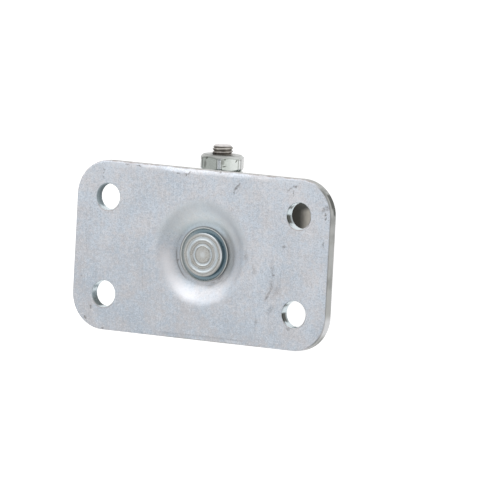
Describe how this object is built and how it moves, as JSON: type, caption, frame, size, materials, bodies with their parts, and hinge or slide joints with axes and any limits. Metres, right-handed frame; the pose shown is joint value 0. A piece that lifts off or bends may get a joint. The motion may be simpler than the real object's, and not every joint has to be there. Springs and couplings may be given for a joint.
{
  "type": "swivel plate caster",
  "caption": "Swivel caster with a dished rectangular top plate, riveted king pin, pressed fork on ball races and a rubber-tyred wheel on a bolted axle.",
  "frame": {"origin": "middle of the top plate's mounting face, on the swivel axis", "axes": "+Z out of the mounting face, +X along the plate's long side with the wheel trailing towards -X, +Y along the axle towards its nut"},
  "size_m": [0.109, 0.0624, 0.09],
  "materials": {
    "plate_zinc": "bright zinc plate, satin, finely scratched",
    "fork_zinc": "bright zinc plate, satin",
    "pin_steel": "riveted steel, zinc plated",
    "axle_steel": "plain steel",
    "nut_zinc": "bright zinc plate",
    "ball_steel": "polished steel",
    "tread_rubber": "dark grey rubber, half matt",
    "hub_plastic": "moulded plastic, matt",
    "bush_plastic": "moulded nylon"
  },
  "bodies": {
    "plate": {"top_plate": "plate_zinc", "king_pin": "pin_steel", "lower_race": "fork_zinc"},
    "swivel_fork": {"fork": "fork_zinc", "axle_bolt": "axle_steel", "axle_nut": "nut_zinc", "lock_washer": "nut_zinc", "axle_sleeve": "axle_steel"},
    "wheel": {"wheel_hub": "hub_plastic", "tread": "tread_rubber", "bush_nut_side": "bush_plastic", "bush_head_side": "bush_plastic"},
    "upper_balls": {"upper_ball_01": "ball_steel", "upper_ball_02": "ball_steel", "upper_ball_03": "ball_steel", "upper_ball_04": "ball_steel", "upper_ball_05": "ball_steel", "upper_ball_06": "ball_steel", "upper_ball_07": "ball_steel", "upper_ball_08": "ball_steel", "upper_ball_09": "ball_steel", "upper_ball_10": "ball_steel", "upper_ball_11": "ball_steel", "upper_ball_12": "ball_steel", "upper_ball_13": "ball_steel", "upper_ball_14": "ball_steel", "upper_ball_15": "ball_steel", "upper_ball_16": "ball_steel", "upper_ball_17": "ball_steel", "upper_ball_18": "ball_steel", "upper_ball_19": "ball_steel", "upper_ball_20": "ball_steel", "upper_ball_21": "ball_steel", "upper_ball_22": "ball_steel"},
    "lower_balls": {"lower_ball_01": "ball_steel", "lower_ball_02": "ball_steel", "lower_ball_03": "ball_steel", "lower_ball_04": "ball_steel", "lower_ball_05": "ball_steel", "lower_ball_06": "ball_steel", "lower_ball_07": "ball_steel", "lower_ball_08": "ball_steel", "lower_ball_09": "ball_steel", "lower_ball_10": "ball_steel", "lower_ball_11": "ball_steel", "lower_ball_12": "ball_steel", "lower_ball_13": "ball_steel", "lower_ball_14": "ball_steel", "lower_ball_15": "ball_steel", "lower_ball_16": "ball_steel"}
  },
  "joints": [
    {"name": "swivel", "type": "hinge", "parent": "plate", "child": "swivel_fork", "pos_m": [0, 0, 0], "axis": [0, 0, 1], "continuous": true},
    {"name": "wheel_spin", "type": "hinge", "parent": "swivel_fork", "child": "wheel", "pos_m": [-0.026, 0, -0.057], "axis": [0, 1, 0], "continuous": true},
    {"name": "upper_ball_orbit", "type": "hinge", "parent": "plate", "child": "upper_balls", "pos_m": [0, 0, 0], "axis": [0, 0, 1], "continuous": true},
    {"name": "lower_ball_orbit", "type": "hinge", "parent": "plate", "child": "lower_balls", "pos_m": [0, 0, 0], "axis": [0, 0, 1], "continuous": true}
  ],
  "couplings": [
    {"joint": "upper_ball_orbit", "follows": "swivel", "ratio": 0.5},
    {"joint": "lower_ball_orbit", "follows": "swivel", "ratio": 0.5}
  ]
}
